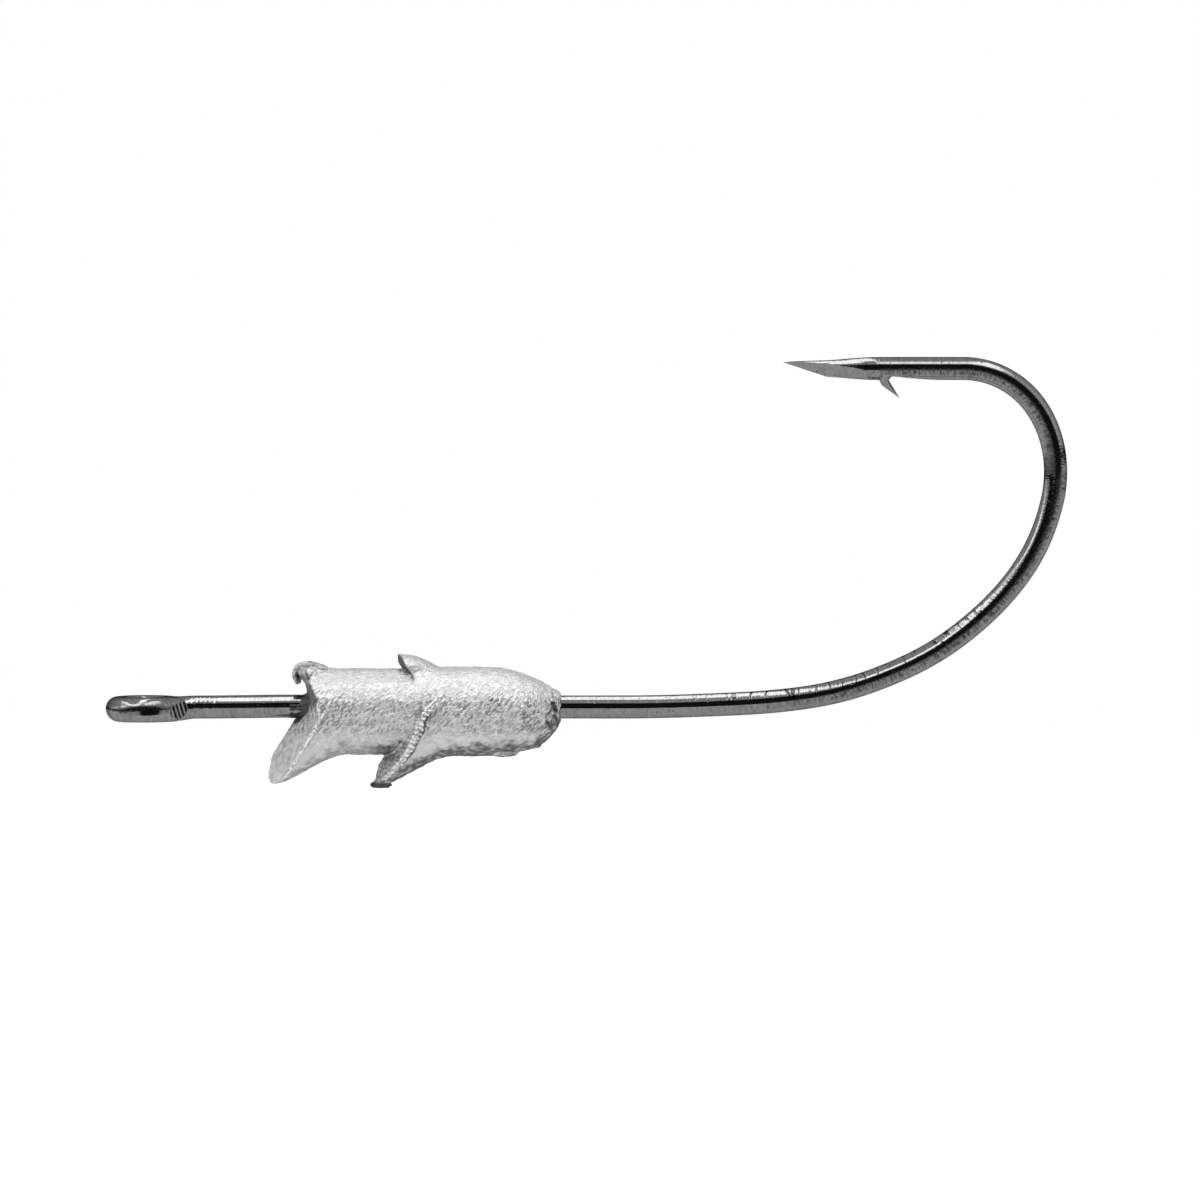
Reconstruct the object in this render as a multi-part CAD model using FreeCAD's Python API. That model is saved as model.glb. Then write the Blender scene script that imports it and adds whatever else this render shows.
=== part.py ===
import FreeCAD, Part
import math
import os

# Jig head: a wire hook with a cast lead weight on its shank.
#
# Millimetres and degrees. The hook lies in the XZ plane with its shank along +X. The origin
# is the centre of the line eye, whose axis is +Z, and the point is on the +Z side.

# ------------------------------------------------------------------ driving dimensions

# Wire and line eye
wire_diameter = 1.45
eye_mean_radius = 1.72       # centre line of the ring
eye_land_depth = 0.02        # the closing mandrel leaves a narrow round land inside the ring
neck_radius = 1.0            # counter bend that brings the shank in line with the ring's centre
tag_gap = 0.03               # between the ring's cut end and the neck

# Shank and bend: tangent arcs, tighter and tighter, until the point is parallel to the shank
shank_length = 32.55         # eye centre to the first arc
entry_radius = 65.4
entry_turn = 7.4
heel_radius = 21.5
heel_turn = 32.8
belly_radius = 14.3
belly_turn = 35.8
shoulder_radius = 7.3
shoulder_turn = 48.3
crown_radius = 5.5           # it makes the rest of the half turn

# Point: a slim cone with two ground facets that meet in an edge on its underside
point_length = 11.15         # end of the bend to the tip
taper_length = 5.6
tip_radius = 0.43            # radius of the cone's far end, before the facets are ground
facet_spread = 11.1          # each facet opens backwards from the tip by this angle
facet_lean = 30.6            # and leans in towards the underside by this one

# Barb: a sliver raised from the underside, and the shallow scoop it leaves behind it
barb_back = 6.0              # tip of the hook to the front of the barb's root
barb_root = 0.75             # length of wire that the barb springs from
barb_neck = 0.57             # its length where it leaves the wire's surface
barb_drop = 1.05             # how far its tip stands below the wire
barb_sweep = 1.17            # how far its tip trails the front of its root
barb_heel = 0.3              # height of the steep front of its root
barb_width = 0.9
barb_tip_width = 0.12
scoop_depth = 0.25
scoop_run = 3.7

# Cast weight: two arrowheads in a row, each with a short upper and a long lower barb
body_top = 2.5               # shank axis to the top of the body
body_bottom = 3.05           # shank axis to its underside
body_half_width = 2.7
waist_inset = 0.1            # the rear arrowhead's body is slimmer all round by this much

nose_end = 26.0              # eye centre to the end of the nose
nose_length = 4.7            # the stretch that narrows towards it
nose_wall = 0.12             # lead left round the wire at the very end
nose_top_power = 2.0         # how full the curve is over the nose
nose_bottom_power = 3.2      # and under it

front_upper_tip = 15.85      # eye centre to each barb's tip
front_lower_tip = 14.2
rear_upper_tip = 9.25
rear_lower_tip = 7.7
front_upper_rise = 0.8       # how far each barb stands out from the body
rear_upper_rise = 0.35
front_lower_rise = 1.85
rear_lower_rise = 1.75
upper_flare = 2.9            # length over which a barb runs out into the body
lower_flare = 5.1
throat_depth = 0.85          # how far a rear face is scooped out ahead of its upper tip
draft_upper = 22.0           # the mould's draft on the rear faces
draft_lower = 36.0

section_pitch = 0.6          # spacing of the sections that the arrowheads are lofted through

# ------------------------------------------------------------------ directions, derived sizes

Vector = FreeCAD.Vector
X = Vector(1, 0, 0)
Y = Vector(0, 1, 0)
Z = Vector(0, 0, 1)
ORIGIN = Vector(0, 0, 0)
wire_radius = wire_diameter / 2


# ------------------------------------------------------------------ wire spans

def disc(centre, normal, radius):
    """A round face."""
    return Part.Face(Part.Wire(Part.makeCircle(radius, centre, normal)))


def half_space(point, normal, reach):
    """A round block that fills the outer side of a plane near a point."""
    outward = Vector(normal).normalize()
    return disc(point, outward, reach).extrude(outward * reach)


def bent_wire(start, heading, centre, axis, turn):
    """A bent stretch of wire, and the place and heading of its far end."""
    spin = FreeCAD.Rotation(axis, turn)
    span = disc(start, heading, wire_radius).revolve(centre, axis, turn)
    return span, centre + spin.multVec(start - centre), spin.multVec(heading)


def eye_and_neck():
    """The ring, its counter bend, and where that bend meets the shank."""
    neck_x = math.sqrt(eye_mean_radius ** 2 + 2 * eye_mean_radius * neck_radius)
    neck_centre = Vector(neck_x, neck_radius, 0)
    meet = math.degrees(math.atan2(neck_radius, neck_x))
    clear = neck_radius + wire_radius + tag_gap
    swing = math.degrees(math.asin(clear / (eye_mean_radius + neck_radius)))
    neck, ring_start, heading = bent_wire(Vector(neck_x, 0, 0), X * -1, neck_centre, Z * -1, 90 - meet)
    ring = bent_wire(ring_start, heading, ORIGIN, Z, 360 - swing)[0]
    return [ring, neck], neck_x


def bend(start):
    """The hook's bend from the shank to the straight point, and where it ends."""
    arcs = [
        (entry_radius, entry_turn),
        (heel_radius, heel_turn),
        (belly_radius, belly_turn),
        (shoulder_radius, shoulder_turn),
    ]
    arcs.append((crown_radius, 180 - sum(turn for radius, turn in arcs)))
    spans = []
    place = start
    heading = X
    for radius, turn in arcs:
        centre = place + heading.cross(Y) * radius
        span, place, heading = bent_wire(place, heading, centre, Y * -1, turn)
        spans.append(span)
    return spans, place


# ------------------------------------------------------------------ point and barb

def ground_point(bend_end):
    """The straight stretch behind the tip, tapered and ground."""
    straight = point_length - taper_length
    shaft = Part.makeCylinder(wire_radius, straight, bend_end, X * -1)
    cone_start = bend_end - X * straight
    cone = Part.makeCone(wire_radius, tip_radius, taper_length, cone_start, X * -1)
    point = shaft.fuse(cone)
    tip = bend_end + Vector(-point_length, 0, tip_radius)
    spread = math.tan(math.radians(facet_spread))
    lean = math.tan(math.radians(facet_lean))
    for side in (-1, 1):
        point = point.cut(half_space(tip, Vector(-spread, side, -lean), 2 * point_length))
    return point


def side_outline(points, half_width, origin):
    """A flat outline in the XZ plane, (back from the tip, up), made into a symmetric plate."""
    corners = [origin + Vector(back, -half_width, up) for back, up in points]
    return Part.Face(Part.makePolygon(corners + corners[:1])).extrude(Y * 2 * half_width)


def scoop(axis_at_tip):
    """What is cut away behind the barb."""
    front = barb_back + barb_root
    floor = -wire_radius + scoop_depth
    below = -2 * wire_radius
    points = [
        (front, below),
        (front, floor),
        (front + scoop_depth, floor),
        (front + scoop_run, -wire_radius),
        (front + scoop_run, below),
    ]
    return side_outline(points, wire_diameter, axis_at_tip)


def barb(axis_at_tip):
    """The sliver itself, narrowing to its own tip."""
    root_top = -wire_radius + scoop_depth
    tip = (barb_back + barb_sweep, -wire_radius - barb_drop)
    points = [
        (barb_back, root_top),
        (barb_back, -wire_radius),
        (barb_back + barb_heel / 2, -wire_radius - barb_heel),
        tip,
        (barb_back + barb_neck, -wire_radius),
        (barb_back + barb_root, root_top),
    ]
    sliver = side_outline(points, barb_width / 2, axis_at_tip)
    narrowing = (barb_width - barb_tip_width) / 2 / math.hypot(barb_sweep, barb_drop)
    along = Vector(barb_sweep, 0, -barb_drop).normalize()
    for side in (-1, 1):
        edge = axis_at_tip + Vector(tip[0], side * barb_tip_width / 2, tip[1])
        sliver = sliver.cut(half_space(edge, along * narrowing + Y * side, 4 * barb_drop))
    return sliver


def make_hook():
    eye, neck_x = eye_and_neck()
    shank = Part.makeCylinder(wire_radius, shank_length - neck_x, Vector(neck_x, 0, 0), X)
    bend_spans, bend_end = bend(Vector(shank_length, 0, 0))
    wire = shank.multiFuse(eye + bend_spans + [ground_point(bend_end)])
    axis_at_tip = bend_end - X * point_length
    wire = wire.cut(scoop(axis_at_tip)).fuse(barb(axis_at_tip))
    land_radius = eye_mean_radius - wire_radius + eye_land_depth
    mandrel = Part.makeCylinder(land_radius, 2 * wire_diameter, Vector(0, 0, -wire_diameter), Z)
    return wire.cut(mandrel)


# ------------------------------------------------------------------ cast weight

def run_out(distance, rise, length):
    """A barb's height above the body at a distance ahead of its tip, along a smooth ramp."""
    share = min(max(1.0 - distance / length, 0.0), 1.0)
    return rise * share * share * (3.0 - 2.0 * share)


def nose_share(x, power):
    """1 along the body, falling to 0 at the end of the nose."""
    along = max(0.0, (x - nose_end + nose_length) / nose_length)
    return 1.0 - along ** power


def section(x, top, bottom, half_width):
    """An egg-shaped section: two half ellipses that meet at the widest place."""
    halves = []
    for height, side in ((top, 1), (bottom, -1)):
        half_circle = Part.Arc(Vector(0, side, 0), Vector(0, 0, side), Vector(0, -side, 0)).toShape()
        stretch = FreeCAD.Matrix()
        stretch.scale(1, half_width, height)
        stretch.move(Vector(x, 0, 0))
        halves.append(half_circle.transformGeometry(stretch))
    return Part.Wire(halves)


def arrowhead(start, end, upper_tip, upper_rise, lower_tip, lower_rise, inset):
    """One lofted arrowhead from start to end, before its rear face is cut."""
    steps = math.ceil((end - start) / section_pitch)
    end_radius = wire_radius + nose_wall
    sections = []
    for step in range(steps + 1):
        x = start + (end - start) * step / steps
        top = body_top - inset + run_out(x - upper_tip, upper_rise, upper_flare)
        bottom = body_bottom - inset + run_out(x - lower_tip, lower_rise, lower_flare)
        upper = nose_share(x, nose_top_power)
        lower = nose_share(x, nose_bottom_power)
        sections.append(section(
            x,
            end_radius + (top - end_radius) * upper,
            end_radius + (bottom - end_radius) * lower,
            end_radius + (body_half_width - inset - end_radius) * (upper + lower) / 2,
        ))
    return Part.makeLoft(sections, True, False)


def behind_rear_face(upper_tip, upper_rise, lower_tip, lower_rise):
    """All that lies behind a scooped rear face, whose halves draft forward from the middle."""
    reach = 2 * (body_bottom + lower_rise)
    outlines = []
    for side in (-1, 0, 1):
        y = side * reach
        upper_x = upper_tip + abs(y) * math.tan(math.radians(draft_upper))
        lower_x = lower_tip + abs(y) * math.tan(math.radians(draft_lower))
        face = Part.BSplineCurve()
        face.interpolate([
            Vector(upper_x, y, reach),
            Vector(upper_x, y, body_top + upper_rise),
            Vector((upper_x + lower_x + upper_tip - lower_tip) / 2 + throat_depth, y, wire_radius),
            Vector(lower_x + throat_depth, y, -wire_radius - body_bottom / 2),
            Vector(lower_x, y, -body_bottom - lower_rise),
            Vector(lower_x, y, -reach),
        ])
        corners = [
            Vector(lower_x, y, -reach),
            Vector(lower_tip - reach, y, -reach),
            Vector(lower_tip - reach, y, reach),
            Vector(upper_x, y, reach),
        ]
        outlines.append(Part.Wire([face.toShape()] + Part.makePolygon(corners).Edges))
    return Part.makeLoft(outlines, True, True)


def make_weight():
    front_tips = (front_upper_tip, front_upper_rise, front_lower_tip, front_lower_rise)
    front = arrowhead(front_lower_tip - throat_depth, nose_end, *front_tips, 0.0)
    front = front.cut(behind_rear_face(*front_tips))
    rear_tips = (rear_upper_tip, rear_upper_rise, rear_lower_tip, rear_lower_rise)
    hidden_end = front_upper_tip + upper_flare
    rear = arrowhead(rear_lower_tip - throat_depth, hidden_end, *rear_tips, waist_inset)
    rear = rear.cut(behind_rear_face(*rear_tips))
    shank_hole = Part.makeCylinder(wire_radius, nose_end + wire_diameter, ORIGIN, X)
    return front.fuse(rear).cut(shank_hole)


# ------------------------------------------------------------------ build

os.makedirs("parts", exist_ok=True)
for name, shape in (("hook", make_hook()), ("cast_weight", make_weight())):
    print(name, "solids", len(shape.Solids), "volume", round(shape.Volume, 2))
    shape.exportStep("parts/" + name + ".step")
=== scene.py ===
import itertools
import math
import bpy
import numpy as np
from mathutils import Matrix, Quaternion, Vector
from mathutils.kdtree import KDTree


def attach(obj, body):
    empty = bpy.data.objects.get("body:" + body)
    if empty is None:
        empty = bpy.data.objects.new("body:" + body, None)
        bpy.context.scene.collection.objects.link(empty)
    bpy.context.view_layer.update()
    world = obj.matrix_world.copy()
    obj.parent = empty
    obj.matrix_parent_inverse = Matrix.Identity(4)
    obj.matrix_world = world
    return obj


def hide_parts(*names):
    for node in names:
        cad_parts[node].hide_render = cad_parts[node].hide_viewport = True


# Jig head: a plated wire hook with a cast lead weight on its shank.
#
# Named sizes are in millimetres and degrees. The meshes and the scene are in metres, in the
# CAD model's frame: origin at the line eye's centre, shank along +X, point on the +Z side.

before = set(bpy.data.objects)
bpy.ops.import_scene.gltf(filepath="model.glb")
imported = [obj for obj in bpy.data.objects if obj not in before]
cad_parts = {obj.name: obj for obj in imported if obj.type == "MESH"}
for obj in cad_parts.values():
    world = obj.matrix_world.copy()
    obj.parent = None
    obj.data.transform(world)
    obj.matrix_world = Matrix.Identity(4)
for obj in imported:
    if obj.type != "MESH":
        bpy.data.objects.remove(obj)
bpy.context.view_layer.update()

MM = 0.001
Y = Vector((0, 1, 0))
Z = Vector((0, 0, 1))

# ---- driving dimensions: the hook

wire_radius = 0.725
eye_mean_radius = 1.72
neck_radius = 1.0
tag_gap = 0.03
shank_length = 32.55
bend_arcs = ((65.4, 7.4), (21.5, 32.8), (14.3, 35.8), (7.3, 48.3), (5.5, 55.7))
point_length = 11.27
taper_length = 6.4
tip_radius = 0.386
# The ground point's round back: a slim cone with a rounded tip, and a shoulder where it swells to
# the full wire, between two distances from the tip.
cone_radius = 0.44
cone_slope = 0.03  # per mm
tip_rounding = 0.4
shoulder = (2.6, 6.2)
facet_spread = math.tan(math.radians(11.1))  # of each ground facet from the hook's plane
facet_lean = math.tan(math.radians(30.6))  # of each facet's lower edge towards that plane
keel_half_width = 0.006  # of the worn edge where the facets meet
barb_back = 6.0
barb_root = 0.75
# The barb's front and rear sides, from its own tip up: height from the point's axis, and distance
# back from the point's tip.
barb_front = ((-1.81, 7.25), (-1.05, 6.2), (-0.725, 6.03), (-0.38, 6.0))
barb_rear = (
    (-1.81, 7.29), (-0.91, 6.73), (-0.71, 6.62), (-0.62, 6.65), (-0.54, 6.76), (-0.49, 6.93), (-0.38, 7.15),
)
barb_width = (0.06, 0.66)  # half width at its tip and at its root
scoop_depth = 0.25
scoop_run = 2.9
nick_pitch = 0.27
nick_depth = 0.016
nicks_start = 2.7
nicks_end = 4.5
tag_reach = 0.25  # of the tag end past the ring's end
tag_run = 1.4  # the length over which it reaches on
tag_splay = 0.34
shear_start = (1.9, -1.6)  # the cut's outer end, along and across the shank
shear_slope = 1.06
shear_run = 2.5  # the cut stays within this much wire
eye_tilt = math.tan(math.radians(1.6))
eye_drop = 0.15

# The wire isn't quite true. It rises to the bend's inner side under the weight and where the bend
# starts, and then it wanders until it runs out in a slight lift at the point. Places are lengths
# along the wire from the eye's middle.
rises = ((9.0, 0.05), (35.0, 0.07))  # the middle and the height of each
rise_reach = 5.0
wander_height = 0.03
wander_pitch = 9.4
wander_crest = 54.5
wander_grows = (43.0, 50.0)
wander_fades = (64.0, 72.0)
point_lift = 0.03

# ---- driving dimensions: the weight

body_top = 2.5
body_bottom = 3.05
body_half_width = 2.7
body_sink = 0.3  # the widest place lies below the shank's middle
waist_inset = 0.1
nose_end = 26.0
nose_length = 4.7
nose_wall = 0.12
nose_top_power = 2.0
nose_bottom_power = 6.0
nose_bevel = 0.12  # the underside's rise towards the nose, per mm

# Each arrowhead's barbs: where the tip would be, how far it stands out, and how long it runs out.
front_barbs = ((15.85, 0.8, 2.8), (14.2, 1.92, 5.1))
rear_barbs = ((9.25, 0.35, 2.9), (7.2, 2.1, 5.6))
# Each arrowhead's rear face from the bottom up: height, place on the shank at the middle, and
# how steeply the face runs forward from there to its sides.
front_face = (
    (-7.0, 14.1, 0.5), (-4.84, 14.3, 0.4), (-4.4, 14.42, 0.35), (-3.94, 14.54, 0.52), (-3.47, 14.7, 0.57),
    (-3.06, 14.95, 0.57), (-2.3, 15.15, 0.58), (-1.5, 15.4, 0.58), (-0.34, 16.15, 0.47), (0.5, 17.45, 0.3),
    (1.0, 17.4, 0.1), (1.3, 17.15, 0.05), (1.6, 16.88, 0.05), (2.0, 16.66, 0.06), (2.25, 16.45, 0.08),
    (2.5, 16.06, 0.2), (2.8, 15.87, 0.28), (3.3, 15.8, 0.28), (7.0, 15.8, 0.28),
)
rear_face = (
    (-7.0, 7.4, 1.0), (-5.2, 7.5, 1.0), (-4.375, 7.67, 1.0), (-2.875, 8.06, 0.86), (-1.56, 8.87, 0.7),
    (-0.6, 9.5, 0.6), (0.0, 9.9, 0.39), (1.0, 10.12, 0.2), (1.6, 9.97, 0.18), (2.3, 9.8, 0.2),
    (3.2, 9.75, 0.2), (7.0, 9.75, 0.2),
)
# Flash lines run on up the flanks from the rims of the rear faces: places on the shank and heights.
flash_lines = (
    ((11.1, -0.75), (11.3, -0.45), (11.62, 0.2), (11.8, 0.6)),
    ((17.3, -0.55), (17.65, -0.05), (18.3, 0.55), (18.75, 0.85)),
)
# The torn lip over the hole curls back along a line of places on the shank and heights.
lip_curl = ((11.2, 2.4), (10.7, 2.58), (10.2, 2.7), (9.75, 2.6), (9.47, 2.3), (9.4, 1.95), (9.54, 1.6))
# Tears and pits, cut alike into both sides: each one's ends, its radius, and whether painted shade darkens
# it.
grooves = (
    ((9.48, 0.95, 2.3), (9.62, 0.95, 1.85), 0.11, True),
    ((9.72, 1.0, 2.36), (9.86, 1.1, 1.8), 0.08, False),
    ((9.98, 1.15, 2.3), (10.32, 1.5, 1.74), 0.13, True),
    ((10.5, 1.1, 2.6), (11.0, 1.3, 2.4), 0.10, False),
    ((10.9, 1.75, 2.0), (11.3, 1.9, 1.8), 0.08, False),
    ((10.8, 0.0, 2.72), (11.3, 0.0, 2.66), 0.10, False),
    ((16.4, 1.75, 2.35), (16.55, 1.9, 2.2), 0.09, True),
    ((16.75, 2.12, 1.9), (16.85, 2.2, 1.75), 0.08, True),
    ((17.05, 2.32, 1.5), (17.12, 2.38, 1.38), 0.06, False),
    ((25.45, 1.25, 0.25), (25.65, 1.15, -0.2), 0.18, True),
    ((25.6, 1.1, -0.5), (25.8, 0.95, -0.85), 0.16, True),
    ((25.2, 1.6, -0.95), (25.4, 1.4, -1.35), 0.13, True),
    ((25.4, 1.1, 1.0), (25.75, 0.9, 0.7), 0.10, False),
    ((21.7, 2.55, 0.47), (21.78, 2.55, 0.47), 0.08, False),
    ((22.05, 2.52, 0.45), (22.12, 2.52, 0.45), 0.08, False),
)
# Spilt lead under the front lower barb and under the nose: centre, half sizes and roughness.
spills = (
    ((14.75, 0, -4.84), (0.66, 0.5, 0.25), 0.05),
    ((22.3, 0, -2.9), (1.0, 0.9, 0.22), 0.04),
    ((24.3, 0, -2.42), (0.5, 0.6, 0.15), 0.04),
)
ledge_run = 0.5  # of the torn ledge on the front arrowhead's rim
rung_pitch = 0.31  # of the tear marks across that ledge
# The corners and the pitch of the grid that the weight's surface is drawn through.
net_low = (7.2, -3.1, -5.3)
net_high = (26.6, 3.1, 3.7)
net_pitch = 0.077


# ---- shared maths

def smooth(value, low, high):
    """0 below low, 1 above high, and a smooth ramp between them."""
    share = np.clip((value - low) / (high - low), 0.0, 1.0)
    return share * share * (3.0 - 2.0 * share)


def within(value, low, rise, fall, high):
    """1 between rise and fall, and a smooth ramp down to 0 at low and at high."""
    return smooth(value, low, rise) * (1 - smooth(value, fall, high))


def spline(knots, values, at):
    """A natural cubic spline through values at knots, read at other places."""
    knots, values = np.array(knots), np.array(values)
    gap = np.diff(knots)
    count = len(knots)
    system = np.eye(count)
    right = np.zeros(count)
    for k in range(1, count - 1):
        system[k, k - 1:k + 2] = gap[k - 1], 2 * (gap[k - 1] + gap[k]), gap[k]
        right[k] = 6 * ((values[k + 1] - values[k]) / gap[k] - (values[k] - values[k - 1]) / gap[k - 1])
    curve = np.linalg.solve(system, right)
    k = np.clip(np.searchsorted(knots, at) - 1, 0, count - 2)
    before, after = at - knots[k], knots[k + 1] - at
    return (
        (curve[k] * after ** 3 + curve[k + 1] * before ** 3) / (6 * gap[k])
        + (values[k] / gap[k] - curve[k] * gap[k] / 6) * after
        + (values[k + 1] / gap[k] - curve[k + 1] * gap[k] / 6) * before
    )


LATTICE = 32


def lumps(points, size, seed):
    """Smooth seeded noise, about -1 to 1, whose lumps are about one size across."""
    steep = np.random.default_rng(seed).normal(size=(LATTICE, LATTICE, LATTICE, 3))
    steep /= np.linalg.norm(steep, axis=-1, keepdims=True)
    spot = points / size
    cell = np.floor(spot).astype(int)
    part = spot - cell
    ease = part ** 3 * (part * (part * 6 - 15) + 10)
    total = np.zeros(len(points))
    for corner in itertools.product((0, 1), repeat=3):
        corner = np.array(corner)
        slope = steep[tuple(((cell + corner) % LATTICE).T)]
        weight = np.prod(np.where(corner, ease, 1 - ease), axis=1)
        total += weight * (slope * (part - corner)).sum(axis=1)
    return total * 1.7


def new_piece(name, vertices, faces, slot):
    """A smooth-shaded mesh object, which rides on the root body when a slot is given."""
    mesh = bpy.data.meshes.new(name)
    mesh.from_pydata(vertices.tolist() if hasattr(vertices, "tolist") else vertices, [], faces)
    mesh.validate()
    mesh.shade_smooth()
    piece = bpy.data.objects.new(name, mesh)
    bpy.context.scene.collection.objects.link(piece)
    if slot:
        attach(piece, "root")
    return piece


def apply_modifiers(piece):
    """Bakes the piece's modifiers into its mesh."""
    view = bpy.context.evaluated_depsgraph_get()
    mesh = bpy.data.meshes.new_from_object(piece.evaluated_get(view), depsgraph=view)
    piece.modifiers.clear()
    piece.data = mesh


# ---- the wire's path

def march(spans, place, heading, inward, pitch):
    """Rows of distance, place, heading and inward direction along straight and bent spans."""
    rows = []
    travelled = 0.0
    for axis, radius, amount in spans:
        length = amount if axis is None else radius * math.radians(amount)
        steps = math.ceil(length / pitch)
        centre = place if axis is None else place + axis.cross(heading) * radius
        for step in range(steps + 1):
            share = step / steps
            if axis is None:
                now = place + heading * length * share, heading, inward
            else:
                spin = Quaternion(axis, math.radians(amount) * share)
                now = centre + spin @ (place - centre), spin @ heading, spin @ inward
            if step < steps:
                rows.append([travelled + length * share, *now[0], *now[1], *now[2]])
        travelled += length
        place, heading, inward = now
    rows.append([travelled, *place, *heading, *inward])
    return np.array(rows)


neck_x = math.sqrt(eye_mean_radius ** 2 + 2 * eye_mean_radius * neck_radius)
meet = math.degrees(math.atan2(neck_radius, neck_x))
swing = math.degrees(
    math.asin((neck_radius + wire_radius + tag_gap) / (eye_mean_radius + neck_radius))
)
tag_angle = math.radians(meet - swing)

ring_pitch = 0.11
wire_sides = 64

spans = [(-Z, eye_mean_radius, 360 - swing), (Z, neck_radius, 90 - meet)]
spans.append((None, 0.0, shank_length - neck_x))
spans += [(-Y, radius, turn) for radius, turn in bend_arcs]
spans.append((None, 0.0, point_length))
tag_place = Vector((math.cos(tag_angle), math.sin(tag_angle), 0)) * eye_mean_radius
tag_heading = Vector((math.sin(tag_angle), -math.cos(tag_angle), 0))
path = march(spans, tag_place, tag_heading, Z, ring_pitch)

distance = path[:, 0]
place, heading, inward = path[:, 1:4], path[:, 4:7], path[:, 7:10]
side = np.cross(heading, inward)
to_tip = distance[-1] - distance
ring_end = eye_mean_radius * math.radians(360 - swing)
neck_end = ring_end + neck_radius * math.radians(90 - meet)
along_shank = distance - neck_end + neck_x  # x on the shank
bend_start = neck_end + shank_length - neck_x


def stray(along):
    """How far the wire lies to the bend's inner side of its true line."""
    total = sum(height * (1 - smooth(abs(along - middle), 0.0, rise_reach)) for middle, height in rises)
    wander = wander_height * np.cos(2 * math.pi * (along - wander_crest) / wander_pitch)
    fade = smooth(along, *wander_fades)
    return total + wander * smooth(along, *wander_grows) * (1 - fade) + point_lift * fade


place = place + inward * stray(along_shank)[:, None]


# ---- the wire's section

top_sides = 21  # of wire_sides: half of the round back of the ground point
facet_sides = 9  # on each ground facet
keel_sides = (wire_sides - 2 * top_sides - 2 * facet_sides) // 2


def spread(low, high, count):
    """count steps from low to high, without the last one."""
    return [low + (high - low) * step / count for step in range(count)]


def round_section(radius, low, high):
    """A circle whose vertices crowd as the ground point's do, from angle low to high."""
    angles = spread(0, low, top_sides) + spread(low, high, facet_sides)
    angles += spread(high, math.pi, keel_sides)
    angles += [2 * math.pi - a for a in reversed(angles[1:] + [math.pi])]
    return np.array([(radius * math.sin(a), radius * math.cos(a)) for a in angles])


def point_radius(back):
    """The radius of the point's round back, at a distance back from the tip."""
    slim = cone_radius + cone_slope * back - (cone_radius - tip_radius) * math.exp(-back / tip_rounding)
    return slim + (wire_radius - slim) * float(smooth(back, *shoulder))


def ground_section(back):
    """Sideways and outward places round the point's section, at a distance back from the tip."""
    radius = point_radius(back)
    offset = facet_spread * back - facet_lean * tip_radius
    low_even = 2 * math.pi * top_sides / wire_sides
    high_even = 2 * math.pi * (top_sides + facet_sides) / wire_sides
    slant = math.hypot(1, facet_lean)
    if offset >= radius * slant * 0.995:
        settle = smooth(back, taper_length, taper_length + 0.6)
        middle = math.pi / 2 + math.atan(facet_lean)
        narrow = 0.05
        low = middle - narrow + (low_even - middle + narrow) * settle
        high = middle + narrow + (high_even - middle - narrow) * settle
        return round_section(radius, low, high)
    chord = math.sqrt(max(radius ** 2 * slant ** 2 - offset ** 2, 0.0))
    upper = (-facet_lean * offset + chord) / slant ** 2
    lower = (-facet_lean * offset - chord) / slant ** 2
    keel_up = (keel_half_width - offset) / facet_lean
    sharp = keel_up > lower
    low = math.atan2(offset + facet_lean * upper, upper)
    points = [(radius * math.sin(a), radius * math.cos(a)) for a in spread(0, low, top_sides)]
    if sharp:
        end = (min(keel_half_width, max(0.0005, offset + facet_lean * keel_up)), keel_up)
    else:
        end = (offset + facet_lean * lower, lower)
    start = (offset + facet_lean * upper, upper)
    for share in spread(0, 1, facet_sides):
        points.append(tuple(a + (b - a) * share for a, b in zip(start, end)))
    if sharp:
        for share in spread(0, 1, keel_sides):
            points.append((end[0] * (1 - share), end[1] - end[0] * 0.5 * math.sin(share * math.pi / 2)))
        last = (0.0, end[1] - end[0] * 0.5)
    else:
        high = math.atan2(end[0], end[1])
        points += [(radius * math.sin(a), radius * math.cos(a)) for a in spread(high, math.pi, keel_sides)]
        last = (0.0, -radius)
    points.append(last)
    points += [(-y, z) for y, z in reversed(points[1:-1])]
    return np.array(points)


sections = np.empty((len(path), wire_sides, 2))
even = np.arange(wire_sides) * 2 * math.pi / wire_sides
sections[:] = np.stack([np.sin(even), np.cos(even)], axis=1) * wire_radius
for row in np.nonzero(to_tip < taper_length + 0.7)[0]:
    sections[row] = ground_section(max(to_tip[row], 0.03))

# The ring's near side was pressed: its lower outer quarter is squarer.
pressed = smooth(-place[:, 1] / eye_mean_radius, 0.2, 0.8) * (distance < ring_end)
out_share = np.clip(-sections[:, :, 0] / wire_radius, 0, 1)
down_share = np.clip(sections[:, :, 1] / wire_radius, 0, 1)
square = 3.6
swollen = np.where(
    (out_share > 0) & (down_share > 0),
    np.maximum(out_share ** square + down_share ** square, 1e-9) ** (-1 / square), 1.0
)
sections *= (1 + (swollen - 1) * pressed[:, None])[:, :, None]

# The scoop behind the barb is a flat cut in the underside.
depth = scoop_depth * smooth(to_tip, barb_back + barb_root - 0.1, barb_back + barb_root)
depth *= np.clip((barb_back + barb_root + scoop_run - to_tip) / scoop_run, 0, 1) ** 1.3
floor_line = (-wire_radius + depth)[:, None]
soft = 0.02
rise = sections[:, :, 1] - floor_line
sections[:, :, 1] = np.where(
    depth[:, None] > 0, floor_line + (rise + np.sqrt(rise ** 2 + soft ** 2)) / 2, sections[:, :, 1]
)

# ---- the wire's small faults

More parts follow.
